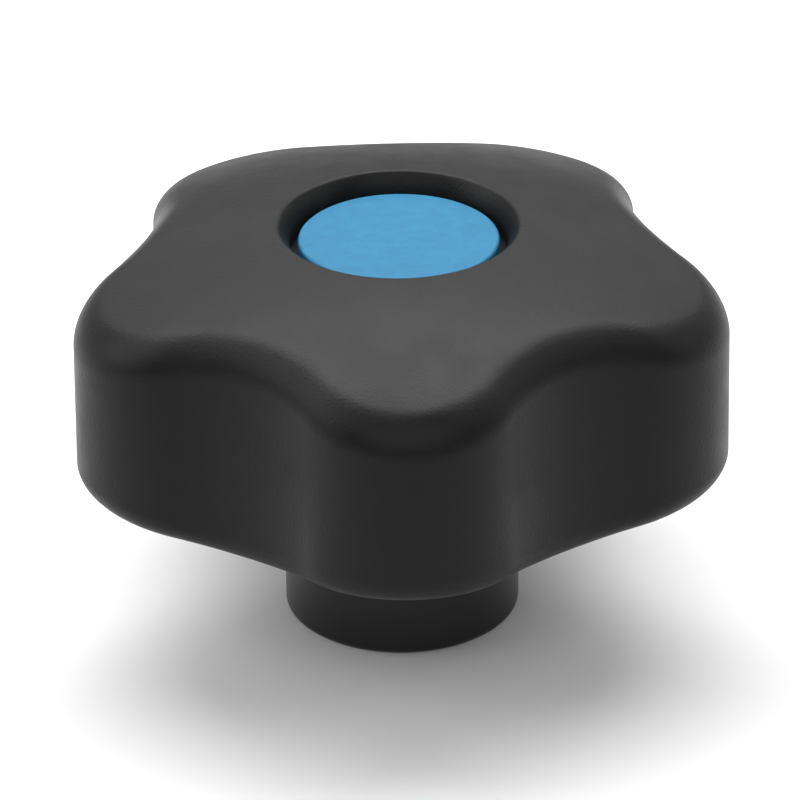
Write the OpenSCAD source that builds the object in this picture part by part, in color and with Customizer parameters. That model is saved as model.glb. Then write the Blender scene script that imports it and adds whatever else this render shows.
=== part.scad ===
// Five-lobe clamping knob: a moulded grip with a hub, a moulded-in tapped bush and a press-in cap.
// Units are millimetres. The origin is on the knob's axis, in the hub's clamping face, and +Z points up to the cap.
// The grip is lofted: its lobed outline is inset ring by ring over the crown, the rounded edges and the underside.

/* [Grip] */
// Diameter over the lobe tips
grip_d = 63; // [58:0.5:68]
// Number of lobes
lobe_count = 5; // [5:1:7]
// Radius of each lobe's tip, in plan
lobe_r = 11; // [10:0.5:12]
// Radius of each hollow between two lobes, in plan
valley_r = 19; // [16:0.5:22]
// Draft of the side wall, in degrees, with the wide end at the bottom
wall_draft = 0.3; // [0:0.1:1.5]
// Radius of the edge between the crown and the side wall
top_edge_r = 3; // [2:0.25:4]
// Radius of the edge between the side wall and the underside
bottom_edge_r = 2.5; // [1:0.25:3]

/* [Crown and underside] */
// Height of the recess rim above the clamping face
knob_h = 40; // [38:0.5:44]
// Radius of the spherical crown
crown_r = 78; // [65:1:120]
// Height at which the hub leaves the underside
hub_h = 11.4; // [9:0.2:13]
// Slope of the conical underside, in degrees, rising outwards
underside_slope = 15; // [5:1:18]

/* [Underside cores] */
// Wall left between the cores and the crown
crown_wall = 4; // [3:0.25:5]
// Wall left between the cores and the cap's seat
seat_wall = 3.4; // [2.6:0.2:4.4]
// Wall left between the cores and the grip's side
side_wall = 3.6; // [3:0.2:4.4]
// Thickness of the ribs between the cores
rib_t = 2.4; // [1.8:0.2:3.2]

/* [Hub] */
// Diameter of the hub
hub_d = 22.2; // [21:0.2:25]
// Radius of the hub's lower edge
hub_edge_r = 0.8; // [0.4:0.1:1]

/* [Cap recess] */
// Diameter of the recess rim
rim_d = 22.6; // [22:0.1:24]
// Radius of the rim's rounded lip
lip_r = 0.6; // [0.3:0.1:0.9]
// Diameter at the lower end of the recess's sloping wall
seat_d = 20.5; // [20:0.1:21]
// Depth of the sloping wall, down to the level of the cap's top
mouth_depth = 1.5; // [1:0.1:2.5]
// Diameter of the socket that grips the cap's skirt
socket_d = 15.8; // [14:0.2:17]
// Depth of the socket below the cap's seat
socket_depth = 7; // [6:0.5:9]
// Depth of the snap groove in the socket wall
groove_depth = 0.35; // [0.2:0.05:0.5]
// Height of the snap groove
groove_h = 1.4; // [1:0.1:2]

/* [Cap] */
// Gap between the cap's edge and the recess wall
cap_gap = 0.85; // [0.3:0.05:1]
// Thickness of the cap's disc
cap_t = 1.9; // [1.4:0.1:2.5]
// Radius of the cap's upper edge
cap_edge_r = 0.3; // [0.2:0.1:0.8]
// Wall of the cap's skirt
skirt_wall = 1.2; // [0.8:0.1:1.6]
// Length of the cap's skirt
skirt_l = 5; // [4:0.25:6]
// Radial clearance between the skirt and the socket
skirt_clearance = 0.1; // [0.05:0.05:0.2]

/* [Threaded bush] */
// Width of the hexagonal bush across its flats
bush_af = 15; // [14:0.5:16]
// Length of the bush
bush_l = 18; // [15:0.5:20]
// Depth of the turned chamfer on the bush's corners
bush_chamfer = 0.8; // [0.5:0.1:1.2]
// Diameter at the bottom of the retaining groove round the bush
bush_groove_d = 12.4; // [12:0.1:13]
// Length of the retaining groove
bush_groove_l = 3; // [2:0.25:4]
// Diameter of the tapping hole, 8.5 for a coarse M10 thread
thread_bore_d = 8.5; // [6.8:0.1:8.6]
// Diameter of the countersink at the mouth of the thread
countersink_d = 10.4; // [9:0.1:11]
// Depth of the tapping hole, without its drilled point
thread_depth = 14; // [10:0.5:14]

/* [Hidden] */
$fn = 96;

// Steps of the lofted grip
lobe_steps = 18;
hollow_steps = 4;
edge_steps = 6;
crown_steps = 6;
core_facets = 200;

// Plan outline: lobe arcs and hollow arcs that meet on a common tangent
half_pitch = 180 / lobe_count;
lobe_centre = grip_d / 2 - lobe_r;
valley_centre = lobe_centre * cos(half_pitch)
    + sqrt(pow(lobe_r + valley_r, 2) - pow(lobe_centre * sin(half_pitch), 2));
valley_at = valley_centre * [cos(half_pitch), sin(half_pitch)];
lobe_half_sweep = atan2(valley_at.y, valley_at.x - lobe_centre);

// Heights
crown_pole = knob_h + crown_r - sqrt(pow(crown_r, 2) - pow(rim_d / 2, 2));
seat_z = knob_h - mouth_depth - cap_t;
socket_floor_z = seat_z - socket_depth;
groove_z = seat_z - skirt_l + groove_h / 2;

// The crown's rings end at the lip round the recess, and the loft's end caps lie inside the hub and the recess
land_r = rim_d / 2 + lip_r;
hub_overlap = 2.5;
loft_inner_r = hub_d / 2 - hub_overlap;

// Lip: the unit directions of the recess wall and of the crown from their corner, and half the angle between them
wall_dir = [seat_d - rim_d, -2 * mouth_depth] / norm([seat_d - rim_d, 2 * mouth_depth]);
crown_tilt = asin(rim_d / 2 / crown_r);
crown_dir = [cos(crown_tilt), -sin(crown_tilt)];
lip_half_angle = acos(wall_dir * crown_dir) / 2;

// Cap: the skirt's section runs up into the disc
cap_r = seat_d / 2 - cap_gap;
skirt_r = socket_d / 2 - skirt_clearance;
skirt_overlap = 0.5;

// Bush: the turned chamfers cut the hexagon's corners down to a round face at each end
corner_angle = 30;
chamfer_angle = 30;
bush_corner_r = bush_af / 2 / cos(corner_angle);
bush_face_r = bush_corner_r - bush_chamfer / tan(chamfer_angle);
drill_half_angle = 59;
drill_point_l = thread_bore_d / 2 / tan(drill_half_angle);
overcut = 1;

// Height of the spherical crown at a distance from the axis
function crown_z(r) = crown_pole - crown_r + sqrt(pow(crown_r, 2) - pow(r, 2));

// Height of the conical underside at a distance from the axis
function underside_z(r) = hub_h + (r - hub_d / 2) * tan(underside_slope);

// Direction of a lobe: the first one points towards -Y
function lobe_angle(k) = 2 * half_pitch * k - 90;

// A point at a distance and an angle from a centre
function polar(centre, r, angle) = centre + r * [cos(angle), sin(angle)];

// A point of the hollow on one side of a lobe: at 0 it meets the lobe's arc, and at hollow_steps it is halfway
function hollow_point(turn, side, step, inset) = polar(
    polar([0, 0], valley_centre, turn + side * half_pitch),
    valley_r + inset,
    turn + 180 + side * (lobe_half_sweep + (half_pitch - lobe_half_sweep) * step / hollow_steps)
);

// One lobe in plan, moved inwards by an inset, with half of the hollow on each side
function lobe_span(turn, inset) = concat(
    [for (j = [hollow_steps : -1 : 1]) hollow_point(turn, -1, j, inset)],
    [for (i = [0 : lobe_steps])
        polar(
            polar([0, 0], lobe_centre, turn),
            lobe_r - inset,
            turn + lobe_half_sweep * (2 * i / lobe_steps - 1)
        )],
    [for (j = [1 : hollow_steps]) hollow_point(turn, 1, j, inset)]
);

// The whole lobed outline in plan: neighbouring lobes share the middle of a hollow
function outline(inset) = [
    for (k = [0 : lobe_count - 1])
        let (span = lobe_span(lobe_angle(k), inset))
        each [for (i = [1 : len(span) - 1]) span[i]]
];

// Points drawn in along their radii towards a circle, by a share from 0 to 1
function drawn_in(points, circle_r, share) = [
    for (p = points) p / norm(p) * (norm(p) * (1 - share) + circle_r * share)
];

function crown_ring(circle_r, share) = [
    for (p = drawn_in(outline(top_inset + top_edge_r), circle_r, share))
        [p.x, p.y, crown_z(norm(p))]
];
function top_edge_ring(angle) = [
    for (p = outline(top_inset + top_edge_r * (1 - cos(angle))))
        [p.x, p.y, crown_z(norm(p)) - top_edge_r * (1 - sin(angle))]
];
function bottom_edge_ring(angle) = [
    for (p = outline(bottom_edge_r * (1 - cos(angle))))
        [p.x, p.y, underside_z(norm(p)) + bottom_edge_r * (1 - sin(angle))]
];
function underside_ring(circle_r) = [
    for (p = drawn_in(outline(bottom_edge_r), circle_r, 1)) [p.x, p.y, underside_z(norm(p))]
];

// How far the draft takes the top of the side wall in
wall_h = crown_z(grip_d / 2) - top_edge_r - underside_z(grip_d / 2) - bottom_edge_r;
top_inset = wall_h * tan(wall_draft);

// The grip without its recess and hub
module grip_loft() {
    rings = concat(
        [crown_ring(loft_inner_r, 1)],
        [for (i = [crown_steps : -1 : 1]) crown_ring(land_r, i / crown_steps)],
        [for (i = [0 : edge_steps]) top_edge_ring(90 * (1 - i / edge_steps))],
        [for (i = [0 : edge_steps]) bottom_edge_ring(90 * i / edge_steps)],
        [underside_ring(loft_inner_r)]
    );
    n = len(rings[0]);
    last = len(rings) - 1;
    polyhedron(
        points = [for (ring = rings) each ring],
        faces = concat(
            [[for (i = [n - 1 : -1 : 0]) i]],
            [for (k = [0 : last - 1], i = [0 : n - 1])
                let (j = (i + 1) % n)
                each [
                    [k * n + i, k * n + j, (k + 1) * n + j],
                    [k * n + i, (k + 1) * n + j, (k + 1) * n + i]
                ]],
            [[for (i = [0 : n - 1]) last * n + i]]
        )
    );
}

// Plan of one core: a lobe inset by the side wall, cut off by the hub and by the ribs in the hollows
module core_plan(turn) {
    difference() {
        polygon(concat(lobe_span(turn, side_wall), [[0, 0]]));
        circle(d = hub_d);
        for (side = [-1, 1])
            rotate(turn + side * half_pitch)
                translate([0, -rib_t / 2])
                    square([grip_d, rib_t]);
    }
}

// The cores that keep the walls of the moulding even: their ceiling is flat below the seat, then follows the crown
module cores() {
    intersection() {
        translate([0, 0, crown_pole - crown_r])
            sphere(crown_r - crown_wall, $fn = core_facets);
        linear_extrude(height = seat_z - seat_wall)
            for (k = [0 : lobe_count - 1])
                core_plan(lobe_angle(k));
    }
}

// The hub, with its rounded lower edge
module hub() {
    rotate_extrude()
        union() {
            difference() {
                square([hub_d / 2, hub_h + bottom_edge_r]);
                translate([hub_d / 2 - hub_edge_r, -overcut])
                    square([hub_edge_r + overcut, hub_edge_r + overcut]);
            }
            intersection() {
                translate([hub_d / 2 - hub_edge_r, hub_edge_r])
                    circle(hub_edge_r);
                square([hub_d / 2, hub_edge_r * 2]);
            }
        }
}

// Section of what rounds the lip: the corner between the crown and the recess wall, outside the lip's circle
module lip_corner() {
    rim = [rim_d / 2, knob_h];
    centre = rim + (wall_dir + crown_dir) / norm(wall_dir + crown_dir) * lip_r / sin(lip_half_angle);
    on_wall = rim + wall_dir * lip_r / tan(lip_half_angle);
    on_crown = rim + crown_dir * lip_r / tan(lip_half_angle);
    above = [0, crown_pole - knob_h + overcut];
    difference() {
        polygon([centre, on_wall, rim, rim + above, on_crown + above, on_crown]);
        translate(centre)
            circle(lip_r);
    }
}

// Everything that the recess takes out: the sloping mouth, the cap's seat, the socket and its snap groove
module cap_recess() {
    top_z = crown_pole + overcut;
    mouth_top_r = seat_d / 2 + (top_z - knob_h + mouth_depth) * wall_dir.x / wall_dir.y;
    rotate_extrude()
        polygon([
            [0, socket_floor_z],
            [socket_d / 2, socket_floor_z],
            [socket_d / 2, groove_z - groove_h / 2],
            [socket_d / 2 + groove_depth, groove_z - groove_h / 2 + groove_depth],
            [socket_d / 2 + groove_depth, groove_z + groove_h / 2 - groove_depth],
            [socket_d / 2, groove_z + groove_h / 2],
            [socket_d / 2, seat_z],
            [seat_d / 2, seat_z],
            [seat_d / 2, knob_h - mouth_depth],
            [mouth_top_r, top_z],
            [0, top_z]
        ]);
    rotate_extrude()
        lip_corner();
}

// Outer form of the bush: hexagon bar with turned chamfers and a retaining groove
module bush_form() {
    waist_z = bush_l / 2;
    intersection() {
        cylinder(h = bush_l, r = bush_corner_r, $fn = 6);
        rotate_extrude()
            polygon([
                [0, 0],
                [bush_face_r, 0],
                [bush_corner_r, bush_chamfer],
                [bush_corner_r, waist_z - bush_groove_l / 2],
                [bush_groove_d / 2, waist_z - bush_groove_l / 2],
                [bush_groove_d / 2, waist_z + bush_groove_l / 2],
                [bush_corner_r, waist_z + bush_groove_l / 2],
                [bush_corner_r, bush_l - bush_chamfer],
                [bush_face_r, bush_l],
                [0, bush_l]
            ]);
    }
}

// Blind tapping hole with its countersunk mouth and drilled point
module bush_bore() {
    mouth_l = (countersink_d - thread_bore_d) / 2;
    rotate_extrude()
        polygon([
            [0, -overcut],
            [countersink_d / 2, -overcut],
            [countersink_d / 2, 0],
            [thread_bore_d / 2, mouth_l],
            [thread_bore_d / 2, thread_depth],
            [0, thread_depth + drill_point_l]
        ]);
}

module knob_body() {
    color([0.16, 0.16, 0.165])
        difference() {
            union() {
                difference() {
                    grip_loft();
                    cores();
                }
                hub();
            }
            cap_recess();
            bush_form();
        }
}

module threaded_bush() {
    color([0.78, 0.62, 0.32])
        difference() {
            bush_form();
            bush_bore();
        }
}

// The cap: a disc on the seat, with a beaded snap skirt in the socket
module cap() {
    top_z = seat_z + cap_t;
    bead_r = socket_d / 2 + groove_depth - 2 * skirt_clearance;
    color([0.36, 0.64, 0.82])
        rotate_extrude() {
            difference() {
                translate([0, seat_z])
                    square([cap_r, cap_t]);
                translate([cap_r - cap_edge_r, top_z - cap_edge_r])
                    square([cap_edge_r + overcut, cap_edge_r + overcut]);
            }
            intersection() {
                translate([cap_r - cap_edge_r, top_z - cap_edge_r])
                    circle(cap_edge_r);
                translate([0, seat_z])
                    square([cap_r, cap_t]);
            }
            polygon([
                [skirt_r - skirt_wall, seat_z - skirt_l],
                [skirt_r, seat_z - skirt_l],
                [bead_r, groove_z],
                [skirt_r, groove_z + groove_h / 2],
                [skirt_r, seat_z + skirt_overlap],
                [skirt_r - skirt_wall, seat_z + skirt_overlap]
            ]);
        }
}

knob_body();
threaded_bush();
cap();
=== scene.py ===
import math

import bmesh
import bpy
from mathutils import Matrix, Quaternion, Vector


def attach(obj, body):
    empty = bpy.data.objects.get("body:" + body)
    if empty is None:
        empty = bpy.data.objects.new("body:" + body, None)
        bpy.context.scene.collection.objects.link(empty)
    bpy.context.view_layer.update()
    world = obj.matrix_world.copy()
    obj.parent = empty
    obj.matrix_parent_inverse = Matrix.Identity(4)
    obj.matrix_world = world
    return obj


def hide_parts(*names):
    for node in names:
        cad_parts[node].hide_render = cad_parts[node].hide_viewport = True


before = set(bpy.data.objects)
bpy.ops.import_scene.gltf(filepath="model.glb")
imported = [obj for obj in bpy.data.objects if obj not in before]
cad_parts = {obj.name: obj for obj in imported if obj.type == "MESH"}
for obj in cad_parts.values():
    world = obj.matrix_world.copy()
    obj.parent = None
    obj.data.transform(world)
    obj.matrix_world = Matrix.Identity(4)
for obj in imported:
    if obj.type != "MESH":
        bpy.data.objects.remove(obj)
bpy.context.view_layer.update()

# a five-lobe clamping knob: black body, brass bush and blue cap, in a small pale studio

mm = 0.001               # pieces are drawn in millimetres and made in metres
weldDistance = 0.0005    # mm, points closer than this become one
noiseRange = (0.3, 0.7)  # where most values of a noise texture lie
scene = bpy.context.scene


# sRGB hex to the linear colour that shaders use
def linearColour(hexText):
    channels = [int(hexText[i:i + 2], 16) / 255 for i in (1, 3, 5)]
    return (*[c / 12.92 if c <= 0.04045 else ((c + 0.055) / 1.055) ** 2.4 for c in channels], 1.0)


# a node with its input values or properties, and its incoming links
def addNode(tree, kind, settings=None, links=None):
    node = tree.nodes.new(kind)
    for key, value in (settings or {}).items():
        if key in node.inputs:
            node.inputs[key].default_value = value
        else:
            setattr(node, key, value)
    for key, socket in (links or {}).items():
        tree.links.new(socket, node.inputs[key])
    return node


def startMaterial(name):
    material = bpy.data.materials.new(name)
    material.use_nodes = True
    tree = material.node_tree
    return material, tree, tree.nodes["Principled BSDF"]


def makeObject(name, vertices, faces, material, sharpAngle):
    mesh = bpy.data.meshes.new(name)
    mesh.from_pydata([[c * mm for c in v] for v in vertices], [], faces)
    work = bmesh.new()
    work.from_mesh(mesh)
    bmesh.ops.remove_doubles(work, verts=work.verts, dist=weldDistance * mm)
    bmesh.ops.dissolve_degenerate(work, edges=work.edges, dist=weldDistance * mm)
    bmesh.ops.recalc_face_normals(work, faces=work.faces)
    work.to_mesh(mesh)
    work.free()
    mesh.shade_smooth()
    mesh.set_sharp_from_angle(angle=math.radians(sharpAngle))
    mesh.materials.append(material)
    piece = bpy.data.objects.new(name, mesh)
    scene.collection.objects.link(piece)
    return piece


# quads between two rows of point numbers
def bridge(faces, rowA, rowB, closed=True):
    count = len(rowA)
    for i in range(count if closed else count - 1):
        j = (i + 1) % count
        faces.append((rowA[i], rowA[j], rowB[j], rowB[i]))


def addRow(vertices, points):
    start = len(vertices)
    vertices.extend(points)
    return list(range(start, start + len(points)))


# triangles from a closed row of points to one point
def closeRow(vertices, faces, row, point):
    tip = addRow(vertices, [point])[0]
    for i in range(len(row)):
        faces.append((tip, row[i], row[(i + 1) % len(row)]))


# points around the axis, with one radius and one height for all or a list of them
def ringPoints(angles, radii, heights):
    radii = radii if isinstance(radii, list) else [radii] * len(angles)
    heights = heights if isinstance(heights, list) else [heights] * len(angles)
    return [(r * math.cos(a), r * math.sin(a), z) for a, r, z in zip(angles, radii, heights)]


# distance from the middle of a hexagon to its outline, at an angle
def hexagonRadius(acrossFlats, angle):
    return acrossFlats / 2 / math.cos(angle % (math.pi / 3) - math.pi / 6)


# camera: a long lens from above the front lobe, turned a little to the left
cameraSettings = {
    "target": (0.0, 0.0, 0.020),   # metres
    "distance": 0.62193,           # metres
    "elevation": 27.831,           # degrees
    "turn": 1.719,                 # degrees to the left
    "roll": -0.574,                # degrees
    "lens": 296.62,                # mm
    "sensor": 36.0,                # mm
    "shift": (-0.00067, 0.01618),
    "clip": (0.01, 20.0),          # metres
}


def makeCamera(s):
    elevation = math.radians(s["elevation"])
    turn = math.radians(s["turn"])
    toCamera = Vector((
        -math.sin(turn) * math.cos(elevation),
        -math.cos(turn) * math.cos(elevation),
        math.sin(elevation),
    ))
    data = bpy.data.cameras.new("studioCamera")
    data.sensor_width = s["sensor"]
    data.lens = s["lens"]
    data.shift_x, data.shift_y = s["shift"]
    data.clip_start, data.clip_end = s["clip"]
    camera = bpy.data.objects.new("studioCamera", data)
    scene.collection.objects.link(camera)
    camera.location = Vector(s["target"]) + toCamera * s["distance"]
    camera.rotation_mode = "QUATERNION"
    camera.rotation_quaternion = (
        (-toCamera).to_track_quat("-Z", "Y") @ Quaternion((0, 0, 1), math.radians(s["roll"]))
    )
    scene.camera = camera


makeCamera(cameraSettings)
print("camera placed")


blackSettings = {
    "name": "mouldedBlackPolyamide",
    "dark": "#101010",
    "light": "#141414",
    "cloudSize": 4.0,     # mm, faint clouds from the flow of the glass-filled melt
    "cloudDetail": 3.0,
    "cloudRoughness": 0.55,
    "grainSize": 0.28,    # mm, eroded mould texture, drawn about twice as coarse as real so that it shows
    "grainDetail": 2.0,
    "grainHeight": 0.030,
    "waveSize": 9.0,      # mm, slow unevenness of thick moulded walls
    "waveDetail": 1.0,
    "waveHeight": 0.03,
    "roughness": (0.38, 0.46),
    "ior": 1.53,          # polyamide
    "specular": 0.14,
}

# the hub is given a smoother, glossier finish than the lobes: a guess, chosen because it brings the hub's
# tone near the photograph's under these lights, not because the photograph shows another finish
hubSettings = {
    **blackSettings,
    "name": "polishedBlackPolyamide",
    "grainHeight": 0.004,
    "roughness": (0.32, 0.38),
    "specular": 0.4,
}


# Black glass-filled polyamide, injection moulded in a spark-eroded mould: near black, with a dull even
# sheen that breaks up finely along the rounded edges
def makeBlackPolyamide(s):
    material, tree, shader = startMaterial(s["name"])
    place = addNode(tree, "ShaderNodeTexCoord").outputs["Object"]
    clouds = addNode(
        tree, "ShaderNodeTexNoise",
        {"Scale": 1 / (s["cloudSize"] * mm), "Detail": s["cloudDetail"], "Roughness": s["cloudRoughness"]},
        {"Vector": place},
    )
    tint = addNode(tree, "ShaderNodeMix", {"data_type": "RGBA"})
    tint.inputs[6].default_value = linearColour(s["dark"])
    tint.inputs[7].default_value = linearColour(s["light"])
    tree.links.new(clouds.outputs["Fac"], tint.inputs[0])
    tree.links.new(tint.outputs[2], shader.inputs["Base Color"])
    dullness = addNode(
        tree, "ShaderNodeMapRange",
        {"From Min": noiseRange[0], "From Max": noiseRange[1],
         "To Min": s["roughness"][0], "To Max": s["roughness"][1]},
        {"Value": clouds.outputs["Fac"]},
    )
    tree.links.new(dullness.outputs["Result"], shader.inputs["Roughness"])
    grain = addNode(
        tree, "ShaderNodeTexNoise",
        {"Scale": 1 / (s["grainSize"] * mm), "Detail": s["grainDetail"]}, {"Vector": place},
    )
    waves = addNode(
        tree, "ShaderNodeTexNoise",
        {"Scale": 1 / (s["waveSize"] * mm), "Detail": s["waveDetail"]}, {"Vector": place},
    )
    grainBump = addNode(
        tree, "ShaderNodeBump", {"Distance": s["grainHeight"] * mm, "Strength": 1.0},
        {"Height": grain.outputs["Fac"]},
    )
    waveBump = addNode(
        tree, "ShaderNodeBump", {"Distance": s["waveHeight"] * mm, "Strength": 1.0},
        {"Height": waves.outputs["Fac"], "Normal": grainBump.outputs["Normal"]},
    )
    tree.links.new(waveBump.outputs["Normal"], shader.inputs["Normal"])
    shader.inputs["IOR"].default_value = s["ior"]
    shader.inputs["Specular IOR Level"].default_value = s["specular"]
    return material


blueSettings = {
    "deep": "#256688",
    "pale": "#2a6d90",
    "cloudSize": 1.3,     # mm, faint mottling of the moulded cap
    "cloudDetail": 4.0,
    "cloudRoughness": 0.6,
    "cloudRange": (0.35, 0.65),
    "grainSize": 0.22,    # mm, fine eroded texture, about as fine as the render can show
    "grainDetail": 2.0,
    "grainHeight": 0.004,
    "roughness": 0.55,
    "ior": 1.53,          # polyamide
    "specular": 0.14,
}


# Light blue polyamide, injection moulded: a clear even colour with faint mottling and a soft sheen
def makeBluePolyamide(s):
    material, tree, shader = startMaterial("mouldedBluePolyamide")
    place = addNode(tree, "ShaderNodeTexCoord").outputs["Object"]
    clouds = addNode(
        tree, "ShaderNodeTexNoise",
        {"Scale": 1 / (s["cloudSize"] * mm), "Detail": s["cloudDetail"], "Roughness": s["cloudRoughness"]},
        {"Vector": place},
    )
    spread = addNode(
        tree, "ShaderNodeMapRange",
        {"From Min": s["cloudRange"][0], "From Max": s["cloudRange"][1]}, {"Value": clouds.outputs["Fac"]},
    )
    tint = addNode(tree, "ShaderNodeMix", {"data_type": "RGBA"})
    tint.inputs[6].default_value = linearColour(s["deep"])
    tint.inputs[7].default_value = linearColour(s["pale"])
    tree.links.new(spread.outputs["Result"], tint.inputs[0])
    tree.links.new(tint.outputs[2], shader.inputs["Base Color"])
    grain = addNode(
        tree, "ShaderNodeTexNoise",
        {"Scale": 1 / (s["grainSize"] * mm), "Detail": s["grainDetail"]}, {"Vector": place},
    )
    bump = addNode(
        tree, "ShaderNodeBump", {"Distance": s["grainHeight"] * mm, "Strength": 1.0},
        {"Height": grain.outputs["Fac"]},
    )
    tree.links.new(bump.outputs["Normal"], shader.inputs["Normal"])
    shader.inputs["Roughness"].default_value = s["roughness"]
    shader.inputs["IOR"].default_value = s["ior"]
    shader.inputs["Specular IOR Level"].default_value = s["specular"]
    return material


brassSettings = {
    "bright": "#c9a765",
    "dull": "#b8934f",
    "feed": 0.16,         # mm between the marks that the lathe tool leaves
    "feedWobble": 0.4,
    "markHeight": 0.003,
    "stainSize": 3.0,     # mm, patches where the brass has dulled
    "stainDetail": 3.0,
    "roughness": (0.22, 0.36),
}


# Free-cutting brass, turned and tapped: warm yellow with fine rings from the lathe tool
def makeTurnedBrass(s):
    material, tree, shader = startMaterial("turnedBrass")
    place = addNode(tree, "ShaderNodeTexCoord").outputs["Object"]
    stain = addNode(
        tree, "ShaderNodeTexNoise",
        {"Scale": 1 / (s["stainSize"] * mm), "Detail": s["stainDetail"]}, {"Vector": place},
    )
    tint = addNode(tree, "ShaderNodeMix", {"data_type": "RGBA"})
    tint.inputs[6].default_value = linearColour(s["bright"])
    tint.inputs[7].default_value = linearColour(s["dull"])
    tree.links.new(stain.outputs["Fac"], tint.inputs[0])
    tree.links.new(tint.outputs[2], shader.inputs["Base Color"])
    dullness = addNode(
        tree, "ShaderNodeMapRange",
        {"From Min": noiseRange[0], "From Max": noiseRange[1],
         "To Min": s["roughness"][0], "To Max": s["roughness"][1]},
        {"Value": stain.outputs["Fac"]},
    )
    tree.links.new(dullness.outputs["Result"], shader.inputs["Roughness"])
    # a wave texture of scale 1 has a ring every pi / 10 units
    rings = addNode(
        tree, "ShaderNodeTexWave",
        {"wave_type": "RINGS", "rings_direction": "Z",
         "Scale": math.pi / 10 / (s["feed"] * mm), "Distortion": s["feedWobble"]},
        {"Vector": place},
    )
    bump = addNode(
        tree, "ShaderNodeBump", {"Distance": s["markHeight"] * mm, "Strength": 1.0},
        {"Height": rings.outputs["Fac"]},
    )
    tree.links.new(bump.outputs["Normal"], shader.inputs["Normal"])
    shader.inputs["Metallic"].default_value = 1.0
    return material


blackPolyamide = makeBlackPolyamide(blackSettings)
polishedPolyamide = makeBlackPolyamide(hubSettings)
bluePolyamide = makeBluePolyamide(blueSettings)
turnedBrass = makeTurnedBrass(brassSettings)
print("materials made")


# knob body: a lobed moulding with a crowned top, a cored underside and a round hub, sizes in mm
bodySettings = {
    "gripD": 63.0,           # over the lobes
    "lobes": 5,
    "lobeR": 11.0,
    "hollowR": 19.0,
    "wallDraft": 0.3,        # degrees
    "topEdgeR": 3.0,
    "bottomEdgeR": 2.5,
    "height": 40.0,          # at the recess rim
    "crownR": 78.0,
    "hubH": 11.4,
    "undersideSlope": 15.0,  # degrees
    "crownWall": 4.0,        # over the pockets
    "seatWall": 3.4,         # under the cap's seat
    "sideWall": 3.6,
    "pocketMiddle": 19.0,    # from the axis, where the rings of a pocket's ceiling close
    "ribT": 2.4,
    "hubD": 22.2,
    "hubEdgeR": 0.8,
    "hubRows": (8.0, 4.5),   # heights of the rows between the hub's ends
    "rimD": 22.6,
    "lipR": 0.6,
    "seatD": 20.5,
    "mouthDepth": 1.5,
    "capT": 1.9,
    "socketD": 15.8,
    "socketDepth": 7.0,
    "bushFaceR": 7.274,      # where the bush's chamfer meets the clamping face
    "bushAf": 15.0,
    "bushL": 18.0,
    "bushChamfer": 30.0,     # degrees
    "lobeSteps": 40,
    "hollowSteps": 10,
    "lipSteps": 8,
    "crownSteps": 22,
    "edgeSteps": 14,
    "ribSteps": 6,
    "pocketWallSteps": 4,
    "ceilingRings": 7,
    "hubSteps": 24,
    "hubEdgeSteps": 8,
    "sharpAngle": 38.0,      # degrees, edges sharper than this keep a crease
}


# (radius, z) pairs of an arc in section, without its first point
def sectionArc(centre, r, startDeg, endDeg, steps):
    angles = [math.radians(startDeg + (endDeg - startDeg) * i / steps) for i in range(1, steps + 1)]
    return [(centre[0] + r * math.cos(a), centre[1] + r * math.sin(a)) for a in angles]


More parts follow.
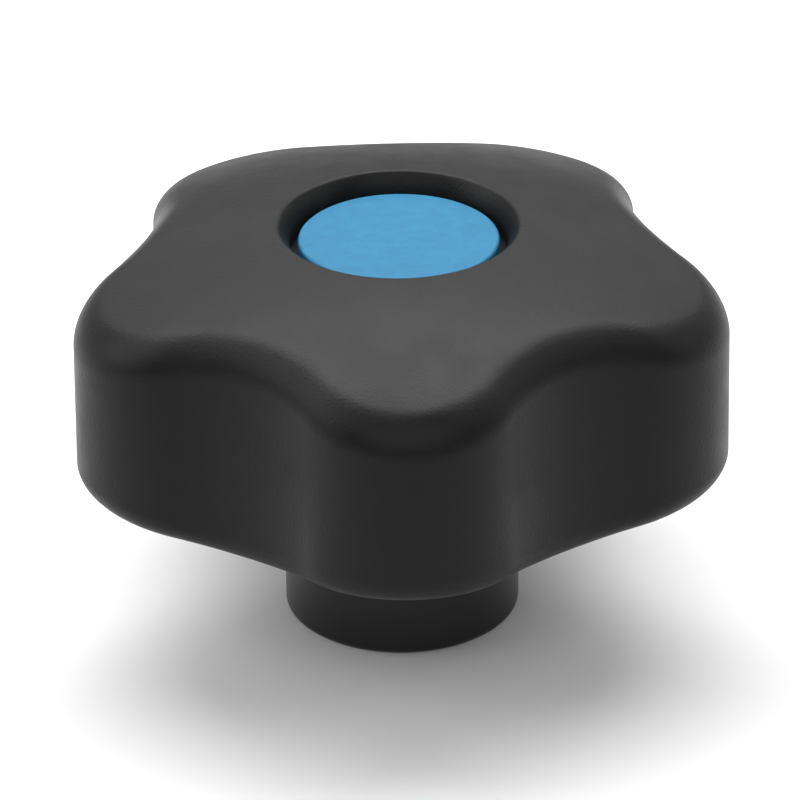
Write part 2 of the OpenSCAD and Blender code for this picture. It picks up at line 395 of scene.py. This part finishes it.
def makeKnobBody(s):
    halfPitch = math.pi / s["lobes"]
    lobeCentre = s["gripD"] / 2 - s["lobeR"]
    hollowCentre = lobeCentre * math.cos(halfPitch) + math.sqrt(
        (s["lobeR"] + s["hollowR"]) ** 2 - (lobeCentre * math.sin(halfPitch)) ** 2)
    hollowAt = Vector((hollowCentre * math.cos(halfPitch), hollowCentre * math.sin(halfPitch)))
    halfSweep = math.atan2(hollowAt.y, hollowAt.x - lobeCentre)
    ribSweep = math.asin(s["ribT"] / 2 / (s["hollowR"] + s["sideWall"]))
    hollowSweep = halfSweep - halfPitch

    # stations along one lobe: the hollow's middle comes first, and the rib's edge is one of them
    hollowAngles = [0.0, ribSweep / 2] + [
        ribSweep + (hollowSweep - ribSweep) * i / s["hollowSteps"] for i in range(s["hollowSteps"])]
    stations = [("hollow", -1, a) for a in hollowAngles]
    stations += [("lobe", 0, halfSweep * (2 * i / s["lobeSteps"] - 1)) for i in range(s["lobeSteps"] + 1)]
    stations += [("hollow", 1, a) for a in reversed(hollowAngles[1:])]
    perLobe = len(stations)
    ribEdge = 2  # station of the rib's edge, counted from either end

    def outlinePoint(turn, station, inset):
        kind, side, angle = station
        if kind == "lobe":
            x = lobeCentre + (s["lobeR"] - inset) * math.cos(angle)
            y = (s["lobeR"] - inset) * math.sin(angle)
        else:
            away = math.pi + halfPitch + angle
            x = hollowAt.x + (s["hollowR"] + inset) * math.cos(away)
            y = side * (hollowAt.y + (s["hollowR"] + inset) * math.sin(away))
        return (x * math.cos(turn) - y * math.sin(turn), x * math.sin(turn) + y * math.cos(turn))

    turns = [2 * halfPitch * k - math.pi / 2 for k in range(s["lobes"])]

    def outline(inset):
        return [outlinePoint(turn, station, inset) for turn in turns for station in stations]

    rimR = s["rimD"] / 2
    crownPole = s["height"] + s["crownR"] - math.sqrt(s["crownR"] ** 2 - rimR ** 2)
    slope = math.tan(math.radians(s["undersideSlope"]))
    seatZ = s["height"] - s["mouthDepth"] - s["capT"]

    def crownZ(r):
        return crownPole - s["crownR"] + math.sqrt(s["crownR"] ** 2 - r ** 2)

    def undersideZ(r):
        return s["hubH"] + (r - s["hubD"] / 2) * slope

    def ceilingZ(r):
        dome = crownPole - s["crownR"] + math.sqrt((s["crownR"] - s["crownWall"]) ** 2 - r ** 2)
        return min(dome, seatZ - s["seatWall"])

    # section of the recess, from the socket's floor up to where the lip meets the crown
    wallDir = Vector((s["seatD"] - s["rimD"], -2 * s["mouthDepth"])).normalized()
    tilt = math.asin(rimR / s["crownR"])
    crownDir = Vector((math.cos(tilt), -math.sin(tilt)))
    halfAngle = math.acos(wallDir.dot(crownDir)) / 2
    lipReach = s["lipR"] / math.sin(halfAngle)
    lipCentre = Vector((rimR, s["height"])) + (wallDir + crownDir).normalized() * lipReach
    lipStart = math.degrees(math.atan2(-wallDir.x, wallDir.y))
    lipStart = lipStart if lipStart > 90 else lipStart + 180
    socketFloor = seatZ - s["socketDepth"]
    section = [
        (s["socketD"] / 2, socketFloor),
        (s["socketD"] / 2, seatZ),
        (s["seatD"] / 2, seatZ),
        (s["seatD"] / 2, s["height"] - s["mouthDepth"]),
        (lipCentre.x + s["lipR"] * math.cos(math.radians(lipStart)),
         lipCentre.y + s["lipR"] * math.sin(math.radians(lipStart))),
    ]
    section += sectionArc(lipCentre, s["lipR"], lipStart, 90 - math.degrees(tilt), s["lipSteps"])
    landR = section[-1][0]

    wallH = (crownZ(s["gripD"] / 2) - s["topEdgeR"]) - (undersideZ(s["gripD"] / 2) + s["bottomEdgeR"])
    topInset = wallH * math.tan(math.radians(s["wallDraft"]))

    vertices, faces = [], []
    border = outline(topInset + s["topEdgeR"])  # where the crown ends and the upper edge starts
    spokes = [math.atan2(y, x) for x, y in border]

    def grow(row, points):
        nextRow = addRow(vertices, points)
        bridge(faces, row, nextRow)
        return nextRow

    # recess, from the middle of the socket's floor outwards
    row = addRow(vertices, ringPoints(spokes, *section[0]))
    closeRow(vertices, faces, row, (0, 0, socketFloor))
    for r, z in section[1:]:
        row = grow(row, ringPoints(spokes, r, z))

    # crown, drawn out from the lip's circle to the lobed outline
    for i in range(1, s["crownSteps"] + 1):
        share = i / s["crownSteps"]
        points = []
        for x, y in border:
            full = math.hypot(x, y)
            r = landR + (full - landR) * share
            points.append((x / full * r, y / full * r, crownZ(r)))
        row = grow(row, points)

    # upper edge, side wall and lower edge
    for i in range(1, s["edgeSteps"] + 1):
        a = math.pi / 2 * (1 - i / s["edgeSteps"])
        points = [(x, y, crownZ(math.hypot(x, y)) - s["topEdgeR"] * (1 - math.sin(a)))
                  for x, y in outline(topInset + s["topEdgeR"] * (1 - math.cos(a)))]
        row = grow(row, points)
    for i in range(s["edgeSteps"] + 1):
        a = math.pi / 2 * i / s["edgeSteps"]
        points = [(x, y, undersideZ(math.hypot(x, y)) + s["bottomEdgeR"] * (1 - math.sin(a)))
                  for x, y in outline(s["bottomEdgeR"] * (1 - math.cos(a)))]
        row = grow(row, points)

    # land between the lower edge and the pockets
    landRow = grow(row, [(x, y, undersideZ(math.hypot(x, y))) for x, y in outline(s["sideWall"])])

    # ribs: from the hollows to the hub, with the hub's points shared by the pockets
    hubR = s["hubD"] / 2
    ribHubAngle = math.asin(s["ribT"] / 2 / hubR)
    ribRows, hubLoop = [], []
    ribSteps = s["ribSteps"]
    for k, turn in enumerate(turns):
        hollowTurn = turn - halfPitch
        first = k * perLobe
        outer = [landRow[(first + d) % len(landRow)] for d in range(-ribEdge, ribEdge + 1)]
        ends = []
        for d in range(-ribEdge, ribEdge + 1):
            a = hollowTurn + ribHubAngle * d / ribEdge
            ends.append((hubR * math.cos(a), hubR * math.sin(a)))
        rows = [outer]
        for i in range(1, ribSteps + 1):
            points = []
            for p, end in zip(outer, ends):
                x = vertices[p][0] + (end[0] - vertices[p][0]) * i / ribSteps
                y = vertices[p][1] + (end[1] - vertices[p][1]) * i / ribSteps
                points.append((x, y, undersideZ(math.hypot(x, y))))
            rows.append(addRow(vertices, points))
            bridge(faces, rows[-2], rows[-1], closed=False)
        ribRows.append(rows)

    # pockets: walls up to a ceiling that is flat near the hub and follows the crown further out
    for k, turn in enumerate(turns):
        before, after = ribRows[k], ribRows[(k + 1) % s["lobes"]]
        first = k * perLobe
        loop = [r[-1] for r in reversed(before)]
        loop += [landRow[(first + i) % len(landRow)] for i in range(ribEdge + 1, perLobe - ribEdge)]
        loop += [r[0] for r in after]
        arc = []
        startA, endA = turn + halfPitch - ribHubAngle, turn - halfPitch + ribHubAngle
        for i in range(1, s["hubSteps"]):
            a = startA + (endA - startA) * i / s["hubSteps"]
            arc.append((hubR * math.cos(a), hubR * math.sin(a), s["hubH"]))
        arcRow = addRow(vertices, arc)
        hubLoop += before[-1] + arcRow[::-1]
        loop += arcRow
        row = loop
        foot = [vertices[p] for p in loop]
        for i in range(1, s["pocketWallSteps"] + 1):
            points = []
            for x, y, z in foot:
                top = ceilingZ(math.hypot(x, y))
                points.append((x, y, z + (top - z) * i / s["pocketWallSteps"]))
            row = grow(row, points)
        middle = (s["pocketMiddle"] * math.cos(turn), s["pocketMiddle"] * math.sin(turn))
        for i in range(1, s["ceilingRings"]):
            share = 1 - i / s["ceilingRings"]
            points = []
            for x, y, z in foot:
                px = middle[0] + (x - middle[0]) * share
                py = middle[1] + (y - middle[1]) * share
                points.append((px, py, ceilingZ(math.hypot(px, py))))
            row = grow(row, points)
        closeRow(vertices, faces, row, (*middle, ceilingZ(math.hypot(*middle))))

    # hub, its rounded lower edge, and the hollow that the bush fills
    row = hubLoop
    hubAngles = [math.atan2(vertices[p][1], vertices[p][0]) for p in hubLoop]
    flats = [hexagonRadius(s["bushAf"], a) for a in hubAngles]
    rise = [(r - s["bushFaceR"]) * math.tan(math.radians(s["bushChamfer"])) for r in flats]
    hubRows = [(hubR, z) for z in s["hubRows"]] + [(hubR, s["hubEdgeR"])]
    hubRows += sectionArc((hubR - s["hubEdgeR"], s["hubEdgeR"]), s["hubEdgeR"], 0, -90, s["hubEdgeSteps"])
    hubRows += [
        (s["bushFaceR"], 0.0),
        (flats, rise),
        (flats, [s["bushL"] - h for h in rise]),
        (s["bushFaceR"], s["bushL"]),
    ]
    for radii, heights in hubRows:
        row = grow(row, ringPoints(hubAngles, radii, heights))
    closeRow(vertices, faces, row, (0, 0, s["bushL"]))

    piece = makeObject("knobBodyMoulding", vertices, faces, blackPolyamide, s["sharpAngle"])
    # the hub's faces take the smoother finish
    piece.data.materials.append(polishedPolyamide)
    reach = (hubR + s["hubEdgeR"] / 10) * mm
    for face in piece.data.polygons:
        if face.center.z < s["hubH"] * mm and face.center.xy.length < reach:
            face.material_index = 1
    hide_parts("knob_body")
    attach(piece, "root")
    return piece


makeKnobBody(bodySettings)
print("knob body made")


# threaded bush: hexagon brass bar with a blind M10 thread, sizes in mm
bushSettings = {
    "af": 15.0,          # across the flats
    "length": 18.0,
    "faceR": 7.274,      # round face inside the chamfer
    "chamfer": 30.0,     # degrees
    "grooveD": 12.4,
    "grooveL": 3.0,
    "boreD": 8.5,
    "majorD": 10.0,
    "pitch": 1.5,
    "flankAngle": 30.0,  # degrees, half of a metric thread's angle
    "mouthD": 10.4,
    "threadEnd": 12.4,   # the thread runs out over one pitch below this depth
    "boreDepth": 14.0,
    "pointAngle": 59.0,  # half angle of the drilled point, in degrees
    "around": 96,
    "sharpAngle": 25.0,  # degrees, edges sharper than this keep a crease
}


def makeThreadedBush(s):
    vertices, faces = [], []
    count = s["around"]
    angles = [2 * math.pi * i / count for i in range(count)]
    flats = [hexagonRadius(s["af"], a) for a in angles]
    rise = [(r - s["faceR"]) * math.tan(math.radians(s["chamfer"])) for r in flats]

    def row(radii, heights):
        return addRow(vertices, ringPoints(angles, radii, heights))

    # outside, from the mouth round to the closed end
    waist = s["length"] / 2
    rows = [
        row(s["mouthD"] / 2, 0.0),
        row(s["faceR"], 0.0),
        row(flats, rise),
        row(flats, waist - s["grooveL"] / 2),
        row(s["grooveD"] / 2, waist - s["grooveL"] / 2),
        row(s["grooveD"] / 2, waist + s["grooveL"] / 2),
        row(flats, waist + s["grooveL"] / 2),
        row(flats, [s["length"] - h for h in rise]),
        row(s["faceR"], s["length"]),
    ]
    for a, b in zip(rows, rows[1:]):
        bridge(faces, a, b)
    closeRow(vertices, faces, rows[-1], (0, 0, s["length"]))

    # thread: one strip wound up the bore, with crest, flank, root and flank in each pitch
    boreR, majorR, pitch = s["boreD"] / 2, s["majorD"] / 2, s["pitch"]
    flank = (majorR - boreR) * math.tan(math.radians(s["flankAngle"]))
    crest = pitch / 4  # flat left by the tapping hole
    root = pitch - crest - 2 * flank
    steps = [  # along the pitch, and share of the thread's depth
        (0, 0), (crest / 2, 0), (crest, 0),
        (crest + flank / 2, 0.5), (crest + flank, 1),
        (crest + flank + root / 2, 1), (crest + flank + root, 1),
        (crest + 1.5 * flank + root, 0.5), (pitch, 0),
    ]
    end = s["threadEnd"] + pitch

    def strand(turnAngle):
        points = []
        for along, depth in steps:
            z = min(max(along + pitch * turnAngle / (2 * math.pi), 0.0), end)
            fade = min(max((end - z) / pitch, 0.0), 1.0)
            r = boreR + (majorR - boreR) * depth * fade
            r = max(r, s["mouthD"] / 2 - z)
            points.append((r * math.cos(turnAngle), r * math.sin(turnAngle), z))
        return points

    turnsNeeded = int(math.ceil(end / pitch)) + 1
    last = None
    for i in range(-count, turnsNeeded * count + 1):
        strip = addRow(vertices, strand(2 * math.pi * i / count))
        if last is not None:
            bridge(faces, last, strip, closed=False)
        last = strip
    drillPoint = s["boreDepth"] + boreR / math.tan(math.radians(s["pointAngle"]))
    lower, upper = row(boreR, end), row(boreR, s["boreDepth"])
    bridge(faces, lower, upper)
    closeRow(vertices, faces, upper, (0, 0, drillPoint))

    piece = makeObject("threadedBushTurned", vertices, faces, turnedBrass, s["sharpAngle"])
    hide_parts("threaded_bush")
    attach(piece, "root")
    return piece


makeThreadedBush(bushSettings)
print("threaded bush made")


# cap: the solid's own shape with its finish
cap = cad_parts["cap"]
cap.data.materials.clear()
cap.data.materials.append(bluePolyamide)
print("cap finished")


# studio: a pale floor under soft lights, sizes in metres
studioSettings = {
    "floorColour": "#e1e1e1",
    "floorSize": 12.0,
    "floorDrop": 0.00002,         # clear of the hub's own face
    "floorRoughness": 0.85,
    "floorSpecular": 0.2,
    # the floor glows from 0.6 m away, with this strength from 0.95 m, so that low views stay pale; this and
    # the strip along the horizon also lighten the crown's back edge a little
    "farFloor": (0.6, 0.95, 0.9),
    "worldColour": "#ffffff",
    "worldStrength": 0.02,
    # sine of the height where the pale strip along the horizon starts to fade and ends, and its strength
    "horizon": (0.0, 0.10, 0.9),
    "lightColour": "#ffffff",
    "aim": (0.0, 0.0, 0.02),
    # name, degrees round from the back (positive to the left), degrees up, distance, size, watts
    "softboxes": [
        ("rearHighSoftbox", 0, 75, 0.45, (0.60, 0.20), 2.1),
        ("rearSoftbox", 0, 60, 0.45, (0.60, 0.20), 1.9),
        ("rearLowSoftbox", 0, 27, 0.60, (0.75, 0.18), 0.88),
        ("rearLeftSoftbox", 45, 16, 0.90, (0.50, 0.40), 0.34),
        ("rearRightSoftbox", -45, 16, 0.90, (0.50, 0.40), 0.45),
        ("frontSoftbox", 180, 38, 1.20, (1.60, 0.95), 7.1),
        ("leftSoftbox", 90, 32, 1.20, (0.90, 1.00), 8.2),
        ("rightSoftbox", -90, 32, 1.20, (0.90, 1.00), 3.6),
    ],
}


def makeStudio(s):
    half = s["floorSize"] / 2
    mesh = bpy.data.meshes.new("paleFloor")
    corners = [(-half, -half), (half, -half), (half, half), (-half, half)]
    mesh.from_pydata([(x, y, -s["floorDrop"]) for x, y in corners], [], [(0, 1, 2, 3)])
    floor = bpy.data.objects.new("paleFloor", mesh)
    scene.collection.objects.link(floor)
    material, tree, shader = startMaterial("paleFloorPaint")
    shader.inputs["Base Color"].default_value = linearColour(s["floorColour"])
    shader.inputs["Roughness"].default_value = s["floorRoughness"]
    shader.inputs["Specular IOR Level"].default_value = s["floorSpecular"]
    place = addNode(tree, "ShaderNodeTexCoord").outputs["Object"]
    away = addNode(tree, "ShaderNodeVectorMath", {"operation": "LENGTH"}, {"Vector": place})
    near, far, glow = s["farFloor"]
    farGlow = addNode(
        tree, "ShaderNodeMapRange",
        {"From Min": near, "From Max": far, "To Min": 0.0, "To Max": glow},
        {"Value": away.outputs["Value"]},
    )
    shader.inputs["Emission Color"].default_value = linearColour(s["worldColour"])
    tree.links.new(farGlow.outputs["Result"], shader.inputs["Emission Strength"])
    mesh.materials.append(material)

    world = bpy.data.worlds.new("studioWorld")
    scene.world = world
    world.use_nodes = True
    background = world.node_tree.nodes["Background"]
    background.inputs["Color"].default_value = linearColour(s["worldColour"])
    direction = addNode(world.node_tree, "ShaderNodeTexCoord").outputs["Generated"]
    height = addNode(world.node_tree, "ShaderNodeSeparateXYZ", None, {"Vector": direction}).outputs["Z"]
    low, high, strength = s["horizon"]
    strip = addNode(
        world.node_tree, "ShaderNodeMapRange",
        {"From Min": low, "From Max": high, "To Min": strength, "To Max": s["worldStrength"]},
        {"Value": height},
    )
    world.node_tree.links.new(strip.outputs["Result"], background.inputs["Strength"])

    for name, compass, elevation, distance, size, power in s["softboxes"]:
        data = bpy.data.lights.new(name, "AREA")
        data.shape = "RECTANGLE"
        data.size, data.size_y = size
        data.energy = power
        data.color = linearColour(s["lightColour"])[:3]
        light = bpy.data.objects.new(name, data)
        scene.collection.objects.link(light)
        side, up = math.radians(compass), math.radians(elevation)
        toLight = Vector((-math.sin(side) * math.cos(up), math.cos(side) * math.cos(up), math.sin(up)))
        light.location = Vector(s["aim"]) + toLight * distance
        light.rotation_mode = "QUATERNION"
        light.rotation_quaternion = (-toLight).to_track_quat("-Z", "Y")

    scene.view_settings.view_transform = "Standard"


makeStudio(studioSettings)
print("studio lit")
